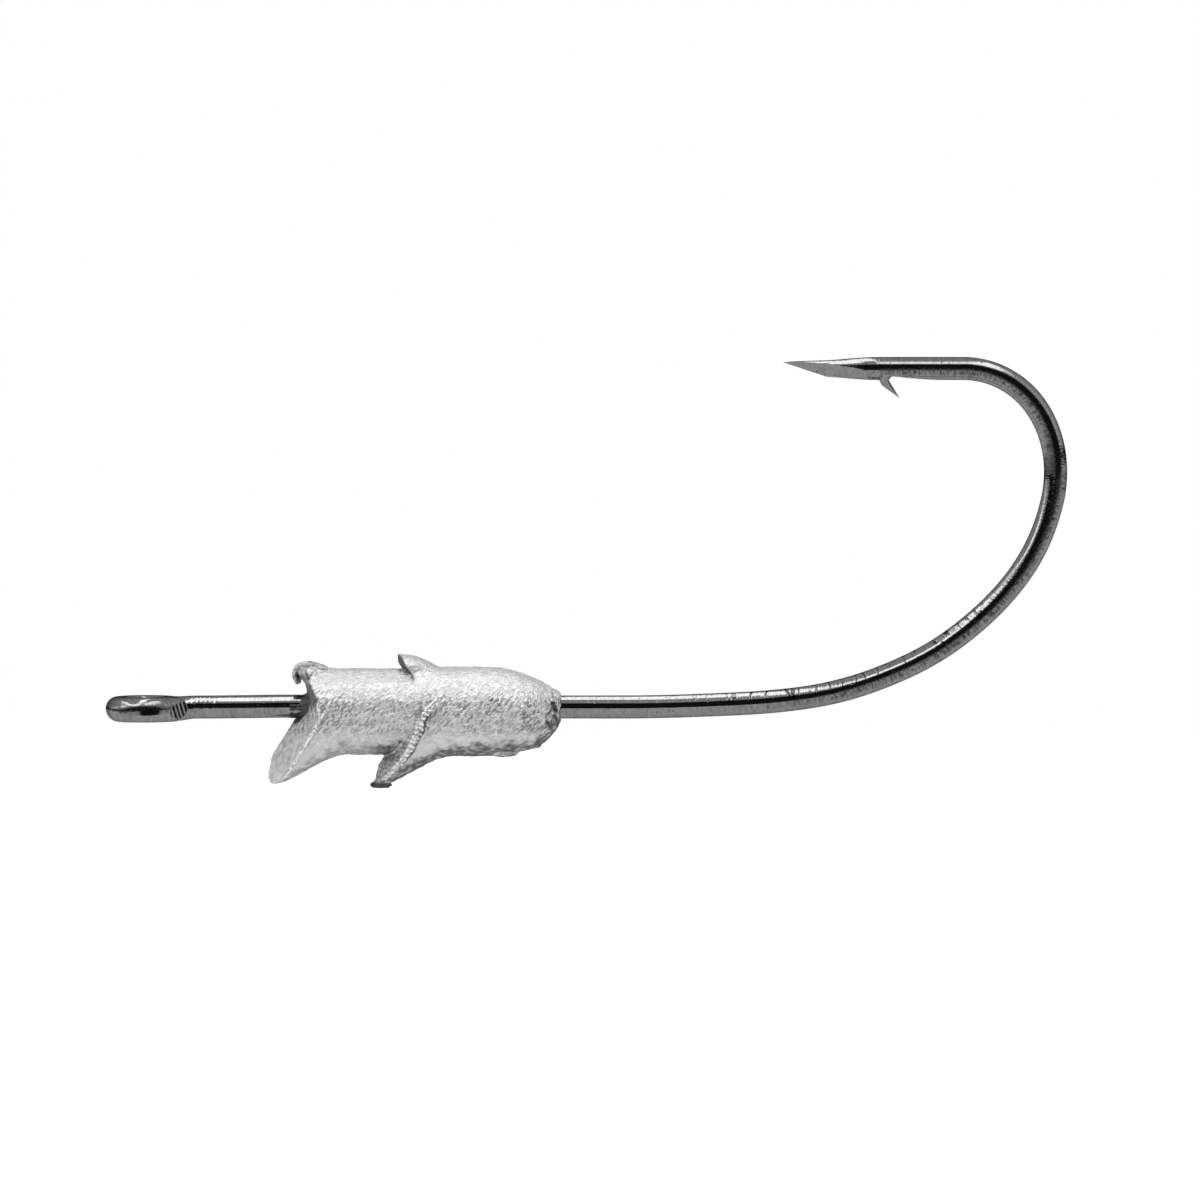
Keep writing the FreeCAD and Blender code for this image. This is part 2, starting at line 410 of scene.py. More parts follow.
# A straightened copy of the wire places its noise without seams.
straight = np.empty((len(path), wire_sides, 3))
straight[:, :, 0] = distance[:, None]
straight[:, :, 1:] = sections
flat = straight.reshape(-1, 3)
strain = smooth(distance, bend_start + 1.0, bend_start + 14.0)
strain = np.maximum(strain, 0.55 * (1 - smooth(distance, ring_end - 0.5, neck_end + 1.0)))
outward = sections[:, :, 1] / wire_radius
# The point was polished on top when it was ground.
polished = smooth(distance, distance[-1] - point_length - 4.5, distance[-1] - point_length - 2.5)
worked = strain[:, None] * (1 - polished[:, None] * smooth(outward, -0.1, 0.15))
# The side that faces down is scuffed, and the bend's inner side is cracked.
downward = outward * np.tanh(6 * heading[:, 0:1])
scuffed = strain[:, None] * within(downward, -0.15, 0.15, 0.45, 0.75)
scuffed *= smooth(to_tip, 4.8, 7.0)[:, None]
crazed = within(distance, bend_start, bend_start + 9.0, bend_start + 19.0, bend_start + 26.0)
crazed = crazed[:, None] * smooth(-outward, 0.1, 0.3)
wear = np.stack([worked, scuffed, crazed], axis=-1).reshape(-1, 3)
worked = wear[:, 0]

swell = 0.006 * lumps(flat * (0.35, 1, 1), 1.1, 11)
swell += 0.0008 * (0.25 + worked) * lumps(flat * (0.5, 1, 1), 0.22, 12)
swell += 0.0005 * (0.1 + worked) * lumps(flat, 0.13, 13)

# The closing jaws left a few slanted nicks on the shank behind the neck.
angle = np.arctan2(sections[:, :, 0], sections[:, :, 1])
upper_near = np.clip(np.cos(angle - math.radians(135)), 0, 1)
reach = within(along_shank, nicks_start, nicks_start + 0.15, nicks_end - 0.2, nicks_end)
reach = reach * (distance > ring_end)
wave = 0.5 + 0.5 * np.cos(2 * math.pi * (along_shank[:, None] - 0.25 * angle) / nick_pitch)
nicks = -nick_depth * reach[:, None] * smooth(upper_near, 0.2, 0.8) * wave ** 3

grow = swell.reshape(len(path), wire_sides) + nicks
grow *= smooth(to_tip, 0.0, 1.5)[:, None]
size = np.linalg.norm(sections, axis=2)
sections *= ((size + grow) / np.maximum(size, 1e-6))[:, :, None]

vertices = (
    place[:, None, :]
    + sections[:, :, 0:1] * side[:, None, :]
    - sections[:, :, 1:2] * inward[:, None, :]
)

# The tag end reaches on beside the shank, where it was sheared off slantwise.
reach_on = (1 - smooth(distance, 0.0, tag_run))[:, None] ** 2
reach_on = reach_on * (tag_reach - 0.15 * sections[:, :, 0] / wire_radius)
vertices[:, :, 0] += reach_on
vertices[:, :, 1] -= tag_splay * reach_on
shorn = shear_start[1] + shear_slope * (vertices[:, :, 0] - shear_start[0]) - vertices[:, :, 1]
shorn *= (distance < shear_run)[:, None]
vertices[:, :, 1] += np.maximum(shorn, 0)
shorn = smooth(shorn, 0.0, 0.06).reshape(-1)

# The ring was closed a little askew, and pressed: its near side hangs lower.
askew = 1 - smooth(vertices[:, :, 0], 1.9, 3.2)
pressed_down = 0.7 - 0.35 * vertices[:, :, 2] / wire_radius
vertices[:, :, 2] += askew * (eye_tilt * vertices[:, :, 1] - eye_drop * pressed_down)


def tube_faces(rings, sides):
    """Quads between rings, and a fan over each end round a last and a last but one vertex."""
    faces = []
    for ring in range(rings - 1):
        for step in range(sides):
            a = ring * sides + step
            b = ring * sides + (step + 1) % sides
            faces.append((a, a + sides, b + sides, b))
    first, last = rings * sides, rings * sides + 1
    for step in range(sides):
        after = (step + 1) % sides
        faces.append((first, step, after))
        faces.append((last, (rings - 1) * sides + after, (rings - 1) * sides + step))
    return faces


rings = len(path)
ends = np.stack([vertices[0].mean(axis=0), vertices[-1].mean(axis=0)])
points = np.concatenate([vertices.reshape(-1, 3), ends]) * MM
hook = new_piece("hook_wire", points, tube_faces(rings, wire_sides), "plated_steel")
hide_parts("hook")


# ---- the barb

def make_barb():
    """A sliver raised from the wire's underside, narrowing to its own tip."""
    tip_place = Vector(place[-1])
    steps = 26
    around = 24
    verts = []
    front_up, front = zip(*barb_front)
    rear_up, rear = zip(*barb_rear)
    for step in range(steps + 1):
        up = front_up[-1] + (front_up[0] - front_up[-1]) * step / steps
        ahead, behind = np.interp(up, front_up, front), np.interp(up, rear_up, rear)
        wide = np.interp(up, (front_up[0], front_up[-1]), barb_width)
        for turn in range(around):
            a = 2 * math.pi * turn / around
            across = math.copysign(abs(math.cos(a)) ** 0.7, math.cos(a)) * (behind - ahead) / 2
            y = math.copysign(abs(math.sin(a)) ** 0.7, math.sin(a)) * wide
            verts.append((tip_place.x + (ahead + behind) / 2 + across, y, tip_place.z + up))
    verts = np.array(verts)
    ends = np.stack([verts[:around].mean(axis=0), verts[-around:].mean(axis=0)])
    return np.concatenate([verts, ends]) * MM, tube_faces(steps + 1, around)


barb = new_piece("barb_tool", *make_barb(), None)
union = hook.modifiers.new("barb", "BOOLEAN")
union.operation = "UNION"
union.object = barb
union.solver = "EXACT"
apply_modifiers(hook)
bpy.data.objects.remove(barb)
hook.data.shade_smooth()
hook.data.set_sharp_from_angle(angle=math.radians(17))


def nearest_rows(piece, sources):
    """For each of a piece's vertices, its place in mm, and the nearest source's number and distance."""
    near = KDTree(len(sources))
    for number, source in enumerate(sources):
        near.insert(source, number)
    near.balance()
    spots = np.empty(len(piece.data.vertices) * 3)
    piece.data.vertices.foreach_get("co", spots)
    spots = spots.reshape(-1, 3)
    found = [near.find(spot)[1:] for spot in spots]
    return spots / MM, np.array([f[0] for f in found]), np.array([f[1] for f in found]) / MM


def add_attribute(piece, name, values):
    """Stores a number or a vector at each of a piece's vertices."""
    vector = values.ndim == 2
    attribute = piece.data.attributes.new(name, "FLOAT_VECTOR" if vector else "FLOAT", "POINT")
    attribute.data.foreach_set("vector" if vector else "value", values.astype(np.float32).ravel())


# The finish follows the wire by its sections' straightened places.
spots, row, gap = nearest_rows(hook, points[:rings * wire_sides])
on_barb = (gap > 0.02)[:, None]
add_attribute(hook, "laid", np.where(on_barb, spots, flat[row]))
add_attribute(hook, "wear", np.where(on_barb, 0.0, wear[row]))
add_attribute(hook, "shorn", np.where(on_barb[:, 0], 0.0, shorn[row]))


# ---- the weight as a field

def run_out(ahead, height, length, power=1.0):
    """A barb's height above the body, at a distance ahead of its tip."""
    return height * smooth(1.0 - np.clip(ahead / length, 0, None) ** power, 0.0, 1.0)


def skin(x, y, z, barbs, inset):
    """Signed distance from an arrowhead's egg-shaped outside."""
    (upper_tip, upper_rise, upper_flare), (lower_tip, lower_rise, lower_flare) = barbs
    end_radius = wire_radius + nose_wall
    along = np.clip((x - nose_end + nose_length) / nose_length, 0, None)
    over, under = 1 - along ** nose_top_power, 1 - along ** nose_bottom_power
    top = body_top - inset + run_out(x - upper_tip, upper_rise, upper_flare, 1.4) * smooth(z, 1.9, 2.8)
    bottom = body_bottom - inset + run_out(x - lower_tip, lower_rise, lower_flare)
    bottom = bottom - nose_bevel * nose_length * along
    top = end_radius + (top - end_radius) * over
    bottom = end_radius + (bottom - end_radius) * under
    full = (over + under) / 2
    half = end_radius + (body_half_width - inset - end_radius) * full
    sink = body_sink * full
    height = np.maximum(np.where(z > -sink, top + sink, bottom - sink), 0.2)
    share = np.sqrt((y / np.maximum(half, 0.2)) ** 2 + ((z + sink) / height) ** 2)
    return np.sqrt(y ** 2 + (z + sink) ** 2) * (1 - 1 / np.maximum(share, 0.05))


def ahead_of(x, y, z, face):
    """How far ahead of an arrowhead's scooped and drafted rear face."""
    heights, middles, drafts = zip(*face)
    return x - spline(heights, middles, z) - np.abs(y) * np.interp(z, heights, drafts)


def blend(a, b, width):
    """A union of two fields with a fillet."""
    share = np.clip(0.5 + 0.5 * (b - a) / width, 0, 1)
    return b * (1 - share) + a * share - width * share * (1 - share)


def trim(a, b, width):
    """What two fields share, with a rounded edge."""
    return -blend(-a, -b, width)


def blob(x, y, z, centre, radii):
    """Signed distance from an ellipsoid, roughly."""
    cx, cy, cz = centre
    rx, ry, rz = radii
    share = np.sqrt(((x - cx) / rx) ** 2 + ((y - cy) / ry) ** 2 + ((z - cz) / rz) ** 2)
    return (share - 1) * min(radii)


def groove(x, y, z, start, end, radius):
    """Signed distance from a round-ended rod, which cuts a groove."""
    start, end = np.array(start), np.array(end)
    run = end - start
    away = [x - start[0], y - start[1], z - start[2]]
    share = np.clip(sum(a * r for a, r in zip(away, run)) / (run @ run), 0, 1)
    return np.sqrt(sum((a - r * share) ** 2 for a, r in zip(away, run))) - radius


def strip(across, up, line):
    """Distance from a broken line in a plane."""
    nearest = None
    for start, end in zip(line, line[1:]):
        run = np.array(end) - start
        share = np.clip(((across - start[0]) * run[0] + (up - start[1]) * run[1]) / (run @ run), 0, 1)
        gap = np.hypot(across - start[0] - run[0] * share, up - start[1] - run[1] * share)
        nearest = gap if nearest is None else np.minimum(nearest, gap)
    return nearest


def flash(z):
    """1 on the lower flanks, where flash stands along the rims, and 0 higher up and at the tips."""
    return within(-z, -0.6, 0.1, 4.2, 4.8)


def waist(z, ahead):
    """How far the rear arrowhead lies within the front one: not at all just above the middle."""
    step = waist_inset * (1 - within(z, -0.3, 0.3, 1.3, 1.9))
    return step + 0.6 * smooth(ahead, 0.3, 3.0)


def raggedness(spots):
    """Rough lumps where lead tore, about -1.6 to 1.6."""
    return lumps(spots, 0.3, 21) + 0.6 * lumps(spots, 0.15, 22)


def tear_marks(x, z, ragged):
    """Slanted rungs across the torn ledge, -1 to 1."""
    return np.cos(2 * math.pi * (z + 0.2 * x + 0.07 * ragged) / rung_pitch)


def weight_field(x, y, z):
    """The cast weight: negative inside the lead."""
    near = np.abs(y)
    front_skin, front_ahead = skin(x, y, z, front_barbs, 0.0), ahead_of(x, y, z, front_face)
    rear_skin, rear_ahead = skin(x, y, z, rear_barbs, waist(z, front_ahead)), ahead_of(x, y, z, rear_face)
    steep = 0.85
    front = trim(front_skin, -front_ahead * steep, 0.04 + 0.35 * smooth(-z, 3.6, 4.8))
    rounding = 0.04 + 0.2 * smooth(z, -0.2, 0.4) + 1.0 * smooth(-z, 3.2, 4.4)
    rear = trim(rear_skin, -rear_ahead * steep, rounding)
    close = np.abs(np.minimum(front, rear)) < 0.6
    ragged = np.zeros(x.shape)
    ragged[close] = raggedness(np.stack([x[close], y[close], z[close]], axis=-1))
    # Flash stands along the rim of each rear face: a thin line at the rear, a rough ledge in front.
    stands = flash(z)
    bead = np.hypot(rear_ahead * steep - 0.02, rear_skin - 0.02)
    bead = bead - 0.15 * stands * np.clip(0.9 + 0.3 * ragged, 0.3, 1.4)
    rear = blend(rear, bead, 0.03)
    rough = np.clip(0.9 + 0.6 * ragged + 0.3 * tear_marks(x, z, ragged), 0, 1.8)
    ledge = (0.08 + 0.16 * np.clip(front_ahead / ledge_run, 0, 1)) * stands * rough
    half_run = ledge_run / 2
    over = np.abs(front_ahead - half_run + 0.05 * ragged) - half_run * np.sqrt(stands)
    ledge = np.maximum(front_skin - ledge, over)
    front = blend(front, ledge, 0.03)
    solid = blend(front, rear, 0.01 + 0.09 * (1 - within(z, -0.4, 0.1, 1.4, 2.0)))
    for line in flash_lines:
        bead = np.hypot(strip(x, z, line), solid) - 0.085 * np.clip(0.9 + 0.5 * ragged, 0.2, 1.5)
        solid = blend(solid, bead, 0.04)
    # A thin raised seam runs round in the hook's plane.
    seam = np.hypot(y * 0.8, solid) - 0.04 * np.clip(1 + 0.6 * ragged, 0, 2)
    solid = blend(solid, np.maximum(seam, x - 25.0), 0.06)
    # The rear upper barb broke off short: its lip is torn and curls over the hole.
    lip = blob(x, y, z, (10.4, 0, 2.05), (0.66, 1.55, 0.62))
    web = blob(x, y, z, (9.95, 0, 2.22), (0.5, 1.15, 0.5))
    curl = np.hypot(strip(x, z, lip_curl), np.maximum(near - 0.8, 0)) - 0.16
    stub = blend(blend(lip, web, 0.1), curl, 0.05) + 0.07 * ragged
    solid = blend(solid, stub, 0.08)
    for start, end, radius, _ in grooves:
        solid = np.maximum(solid, -(groove(x, near, z, start, end, radius) + 0.04 * ragged))
    # Lead crept along the shank at the hole.
    radius = np.hypot(y, z)
    creep = radius - wire_radius - 0.025 - 0.16 * smooth(x, 9.5, 10.3) ** 2 - 0.03 * ragged
    creep = np.maximum(creep, np.maximum(9.05 - x + 0.22 * ragged, x - 11.5))
    solid = blend(solid, creep, 0.08)
    for centre, radii, roughness in spills:
        solid = blend(solid, blob(x, y, z, centre, radii) + roughness * ragged, 0.06)
    # The nose's sprue was snapped off.
    solid = solid + 0.11 * ragged * smooth(x, 24.4, 25.5)
    solid = np.maximum(solid, x - nose_end - 0.1 * ragged)
    return np.maximum(solid, wire_radius - 0.015 - radius)


def surface_net(field, low, pitch):
    """Vertices and quads round the solid where a sampled field is negative."""
    inside = field < 0
    corners = list(itertools.product((0, 1), repeat=3))
    shape = [n - 1 for n in field.shape]
    block = [tuple(slice(c, c + n) for c, n in zip(corner, shape)) for corner in corners]
    count = sum(inside[b].astype(np.int8) for b in block)
    cells = np.argwhere((count > 0) & (count < 8))
    values = np.stack([field[tuple((cells + corner).T)] for corner in corners], axis=1)
    total = np.zeros((len(cells), 3))
    crossings = np.zeros(len(cells))
    for a, b in itertools.combinations(range(8), 2):
        start, end = np.array(corners[a]), np.array(corners[b])
        if abs(end - start).sum() != 1:
            continue
        crosses = (values[:, a] < 0) != (values[:, b] < 0)
        share = np.where(crosses, values[:, a] / np.where(crosses, values[:, a] - values[:, b], 1), 0)
        total += crosses[:, None] * (start + share[:, None] * (end - start))
        crossings += crosses
    vertices = np.array(low) + (cells + total / crossings[:, None]) * pitch
    index = np.full(shape, -1)
    index[tuple(cells.T)] = np.arange(len(cells))
    quads = []
    for axis in range(3):
        before = [slice(None)] * 3
        after = [slice(None)] * 3
        before[axis], after[axis] = slice(0, -1), slice(1, None)
        leaves = inside[tuple(before)] & ~inside[tuple(after)]
        enters = ~inside[tuple(before)] & inside[tuple(after)]
        b, c = np.eye(3, dtype=int)[(axis + 1) % 3], np.eye(3, dtype=int)[(axis + 2) % 3]
        for mask, order in ((leaves, (b + c, c, 0 * b, b)), (enters, (b + c, b, 0 * b, c))):
            edges = np.argwhere(mask)
            quads.append(np.stack([index[tuple((edges - step).T)] for step in order], axis=1))
    return vertices, np.concatenate(quads)


axes = [np.arange(a, b, net_pitch) for a, b in zip(net_low, net_high)]
grid = np.meshgrid(*axes, indexing="ij")
lead, quads = surface_net(weight_field(*grid), net_low, net_pitch)

weight = new_piece("lead_casting", lead * MM, quads.tolist(), "cast_lead")
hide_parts("cast_weight")

normals = np.empty(len(lead) * 3, np.float32)
weight.data.vertices.foreach_get("normal", normals)
normals = normals.reshape(-1, 3)
radius = np.hypot(lead[:, 1], lead[:, 2])
outside = smooth(radius, wire_radius + 0.02, wire_radius + 0.2)
grain = 0.030 * lumps(lead, 1.3, 31) + 0.018 * lumps(lead, 0.45, 32) + 0.013 * lumps(lead, 0.22, 33)
lead_at, lead_facing = lead, normals
lead = lead + normals * (grain * outside)[:, None]
weight.data.vertices.foreach_set("co", (lead * MM).astype(np.float32).ravel())
weight.data.update()


def painted_shade_and_dark_marks(at, facing):
    """Where the lead is painted darker: mostly painted shade, round the hole, on the rear faces, beside the
    flash, in the crease and the pits, at the lowest tip and underneath, and lightly on the stub and along
    its cap.
    """
    x, y, z = at.T
    radius = np.hypot(y, z)
    cloud = lumps(at, 0.8, 41) + 0.5 * lumps(at, 0.3, 42)
    specks = lumps(at, 0.35, 43)
    # Painted shade round the hole, in the mouth where the shank goes in and on the lead crept along it.
    hole = (1 - smooth(radius + 0.15 * cloud, 0.95, 1.25)) * (1 - smooth(x, 11.5, 12.5))
    rear_ahead, front_ahead = ahead_of(x, y, z, rear_face), ahead_of(x, y, z, front_face)
    # Painted shade on the rear arrowhead's rear face over the hole, and in specks lower down.
    back = (1 - smooth(rear_ahead + 0.04 * cloud, 0.05, 0.16)) * smooth(z + 0.2 * cloud, -0.6, 0.5)
    back = back * 0.62 + (1 - smooth(rear_ahead, 0.05, 0.16)) * np.clip(0.05 + 0.4 * specks, 0, 0.3)
    back *= 1 - 0.6 * smooth(z, 1.3, 1.6)
    # Painted shade on the front arrowhead's rear face.
    front_back = smooth(-facing[:, 0], 0.2, 0.6) * (np.abs(front_ahead) < 0.15)
    front_back *= np.where(z > 0, 0.8, np.clip(0.45 + 0.6 * specks, 0, 1))
    # Painted shade in the crease along the front arrowhead's rear edge, high up, broken into specks.
    crease = (1 - smooth(np.abs(front_ahead + 0.03), 0.05, 0.14)) * within(z, 1.4, 1.8, 2.9, 3.1)
    crease *= np.clip(0.3 + 1.6 * specks, 0, 1)
    # Painted shadow in a strip just ahead of each flash rim and ledge on the lower flanks.
    beside = smooth(rear_ahead, 0.1, 0.18) * (1 - smooth(rear_ahead + 0.05 * cloud, 0.2, 0.32))
    beside *= smooth(-z + 0.5 * cloud, 0.9, 1.8) * (1 - smooth(-z, 3.2, 4.2))
    beside_front = smooth(front_ahead, ledge_run - 0.05, ledge_run + 0.02)
    beside_front *= 1 - smooth(front_ahead + 0.05 * cloud, ledge_run + 0.12, ledge_run + 0.22)
    beside_front *= smooth(-z + 0.2 * cloud, 0.1, 0.6) * (1 - smooth(-z, 3.2, 4.2))
    # Painted shade on faces that look down, and darker still on the lower edges seen side-on.
    under = smooth(-facing[:, 2] + 0.15 * cloud, 0.66, 0.85) * np.clip(0.9 + 0.8 * specks, 0, 1)
    edge_on = np.sqrt(np.clip(1 - facing[:, 1] ** 2, 0, 1)) * (facing[:, 2] < 0) * (facing[:, 0] > -0.1)
    edge_on = smooth(edge_on + 0.12 * cloud, 0.68, 0.86) * np.clip(0.9 + 0.8 * specks, 0, 1)
    under = np.maximum(under * (0.5 + 0.4 * smooth(x, 14.0, 15.0)), 0.9 * edge_on * smooth(x, 14.5, 15.5))
    # Painted shade at the front lower barb's lowest tip.
    shade_at_lowest_tip = smooth(-z, 4.6, 4.8) * (x > 14)
    stub = (1 - smooth(x, 9.75, 9.95)) * smooth(z, 1.3, 1.5)
    # Painted shade in the grooves that are flagged for it.
    pits = [
        1 - smooth(strip(x, z, (start[::2], end[::2])), 0.08, 0.15)
        for start, end, _, dark in grooves if dark
    ]
    pits = np.max(pits, axis=0) * np.clip(0.9 + specks, 0, 1)
    cap = (1 - smooth(strip(x, z, ((10.3, 2.82), (11.3, 2.42))), 0.06, 0.2)) * np.clip(0.8 + specks, 0, 1)
    return np.clip(np.max([
        hole, back, front_back, 0.45 * beside, 0.95 * beside_front, under, shade_at_lowest_tip, 0.2 * stub,
        0.4 * cap, 0.5 * crease, 0.85 * pits
    ], axis=0), 0, 1)


def torn_metal_and_highlight(at):
    """Where the lead is painted paler: torn flash showing bright metal, and partly a painted highlight on
    the ledge, the rims and the flash lines.
    """
    x, y, z = at.T
    front_ahead, rear_ahead = ahead_of(x, y, z, front_face), ahead_of(x, y, z, rear_face)
    ledge = within(front_ahead, -0.1, 0.05, ledge_run - 0.05, ledge_run)
    rim = np.abs(skin(x, y, z, rear_barbs, waist(z, front_ahead)))
    rim = (1 - smooth(rim, 0.12, 0.2)) * (1 - smooth(np.abs(rear_ahead - 0.03), 0.1, 0.17))
    lines = [1 - smooth(strip(x, z, line), 0.05, 0.1) for line in flash_lines]
    rungs = 0.6 + 0.4 * tear_marks(x, z, raggedness(at))
    return np.max([ledge * flash(z) * rungs * 0.8, rim * flash(z) * 0.9, *lines], axis=0)


# Painted shade, stored at each vertex of the weight.
add_attribute(weight, "painted_shade_and_dark_marks", painted_shade_and_dark_marks(lead_at, lead_facing))
# Where the lead is painted paler, partly as a painted highlight.
add_attribute(weight, "torn", torn_metal_and_highlight(lead_at))


# ---- node helpers

def feed(tree, socket, value):
    """Links or sets a node's input."""
    if isinstance(value, bpy.types.NodeSocket):
        tree.links.new(value, socket)
    else:
        socket.default_value = value


def calc(tree, operation, *values):
    """A Math node."""
    node = tree.nodes.new("ShaderNodeMath")
    node.operation = operation
    for socket, value in zip(node.inputs, values):
        feed(tree, socket, value)
    return node.outputs[0]


def times(tree, a, b):
    """a times b."""
    return calc(tree, "MULTIPLY", a, b)


def minus(tree, a, b):
    """a minus b."""
    return calc(tree, "SUBTRACT", a, b)


def times_plus(tree, a, b, c):
    """a times b, plus c."""
    return calc(tree, "MULTIPLY_ADD", a, b, c)


def ramp(tree, value, low, high, start=0.0, end=1.0):
    """A smooth ramp from start to end as a value goes from low to high."""
    node = tree.nodes.new("ShaderNodeMapRange")
    node.interpolation_type = "SMOOTHSTEP"
    names = "Value", "From Min", "From Max", "To Min", "To Max"
    for name, number in zip(names, (value, low, high, start, end)):
        feed(tree, node.inputs[name], number)
    return node.outputs[0]


def stretch(tree, vector, scale):
    """A vector scaled along its axes."""
    node = tree.nodes.new("ShaderNodeMapping")
    feed(tree, node.inputs["Vector"], vector)
    node.inputs["Scale"].default_value = scale
    return node.outputs[0]


def speckle(tree, vector, scale, detail=2.0, roughness=0.5, distortion=0.0):
    """Noise, about 0 to 1."""
    node = tree.nodes.new("ShaderNodeTexNoise")
    feed(tree, node.inputs["Vector"], vector)
    names = "Scale", "Detail", "Roughness", "Distortion"
    for name, number in zip(names, (scale, detail, roughness, distortion)):
        node.inputs[name].default_value = number
    return node.outputs["Fac"]


def cells_edge(tree, vector, scale):
    """Distance to the nearest border between random cells."""
    node = tree.nodes.new("ShaderNodeTexVoronoi")
    node.feature = "DISTANCE_TO_EDGE"
    feed(tree, node.inputs["Vector"], vector)
    node.inputs["Scale"].default_value = scale
    return node.outputs["Distance"]


def mix(tree, factor, a, b):
    """A colour between two others."""
    node = tree.nodes.new("ShaderNodeMix")
    node.data_type = "RGBA"
    feed(tree, node.inputs["Factor"], factor)
    feed(tree, node.inputs["A"], a)
    feed(tree, node.inputs["B"], b)
    return node.outputs["Result"]


def shade(tree, value, dark, pale):
    """A colour between two greys or tints."""
    return mix(tree, value, (*dark, 1), (*pale, 1))


def bump(tree, height, millimetres):
    """A Bump node whose full height stands for a length."""
    node = tree.nodes.new("ShaderNodeBump")
    node.inputs["Strength"].default_value = 1.0
    node.inputs["Distance"].default_value = millimetres * MM
    feed(tree, node.inputs["Height"], height)
    return node.outputs["Normal"]


def new_material(name):
    """A material with a lone Principled shader, which is returned with its tree."""
    material = bpy.data.materials.new(name)
    material.use_nodes = True
    tree = material.node_tree
    return material, tree, tree.nodes["Principled BSDF"]


def read_attribute(tree, name, output):
    """What a mesh attribute holds, as one of the Attribute node's outputs."""
    node = tree.nodes.new("ShaderNodeAttribute")
    node.attribute_name = name
    return node.outputs[output]


def parts_of(tree, vector):
    """A vector's three parts."""
    node = tree.nodes.new("ShaderNodeSeparateXYZ")
    tree.links.new(vector, node.inputs[0])
    return node.outputs


def place_in_mm(tree):
    """Where the shaded point lies, in millimetres."""
    coordinates = tree.nodes.new("ShaderNodeTexCoord").outputs["Object"]
    return stretch(tree, coordinates, (1 / MM, 1 / MM, 1 / MM))


# ---- finishes

def plated_steel():
    """Black nickel on drawn wire: wrinkled across where it was bent, scuffed and cracked there."""
    material, tree, shader = new_material("black_nickel")
    laid = read_attribute(tree, "laid", "Vector")
    bent, scuffed, crazed = parts_of(tree, read_attribute(tree, "wear", "Vector"))
    wrinkles = speckle(tree, stretch(tree, laid, (1.3, 0.4, 0.4)), 6.0, 2.0, 0.55, 0.2)
    fine = speckle(tree, laid, 13.0, 2.0, 0.6, 0.6)
    pits = ramp(tree, speckle(tree, laid, 5.5, 1.0, 0.4), 0.70, 0.76)
    cracks = cells_edge(tree, stretch(tree, laid, (1.0, 0.16, 0.16)), 1.2)
    cracks = ramp(tree, cracks, 0.02, 0.06, 1.0, 0.0)
    patchy = ramp(tree, speckle(tree, laid, 1.6, 1.0), 0.40, 0.55)
    crazing = times(tree, patchy, times_plus(tree, crazed, 0.9, 0.1))
    cracks = times(tree, cracks, crazing)
    height = times(tree, wrinkles, times_plus(tree, bent, 0.95, 0.05))
    height = times_plus(tree, fine, times_plus(tree, bent, 0.12, 0.03), height)
    height = minus(tree, height, times(tree, calc(tree, "ADD", pits, cracks), 0.6))
    # Shear marks run across the cut at the tag end.
    x, y, z = parts_of(tree, place_in_mm(tree))
    stripes = times_plus(tree, z, 0.27, x)
    stripes = times_plus(tree, wrinkles, 0.12, stripes)
    stripes = calc(tree, "SINE", times(tree, stripes, 2 * math.pi / 0.23))
    stripes = times(tree, stripes, read_attribute(tree, "shorn", "Fac"))
    height = times_plus(tree, stripes, 1.6, height)
    feed(tree, shader.inputs["Normal"], bump(tree, height, 0.009))
    tone = times_plus(tree, wrinkles, 0.5, times(tree, fine, 0.5))
    tone = minus(tree, tone, times(tree, calc(tree, "ADD", pits, cracks), 0.6))
    tone = times_plus(tree, stripes, 0.25, tone)
    scuffs = times(tree, scuffed, ramp(tree, wrinkles, 0.34, 0.62, 1.0, 0.4))
    tone = minus(tree, tone, times(tree, scuffs, 0.35))
    feed(tree, shader.inputs["Base Color"], shade(tree, tone, (0.035, 0.035, 0.036), (0.30, 0.30, 0.304)))
    smoothness = ramp(tree, fine, 0.3, 0.7, 0.035, 0.065)
    feed(tree, shader.inputs["Roughness"], times_plus(tree, scuffs, 0.42, smoothness))
    shader.inputs["Metallic"].default_value = 1.0
    shader.inputs["Specular Tint"].default_value = (0.38, 0.38, 0.38, 1)
    return material


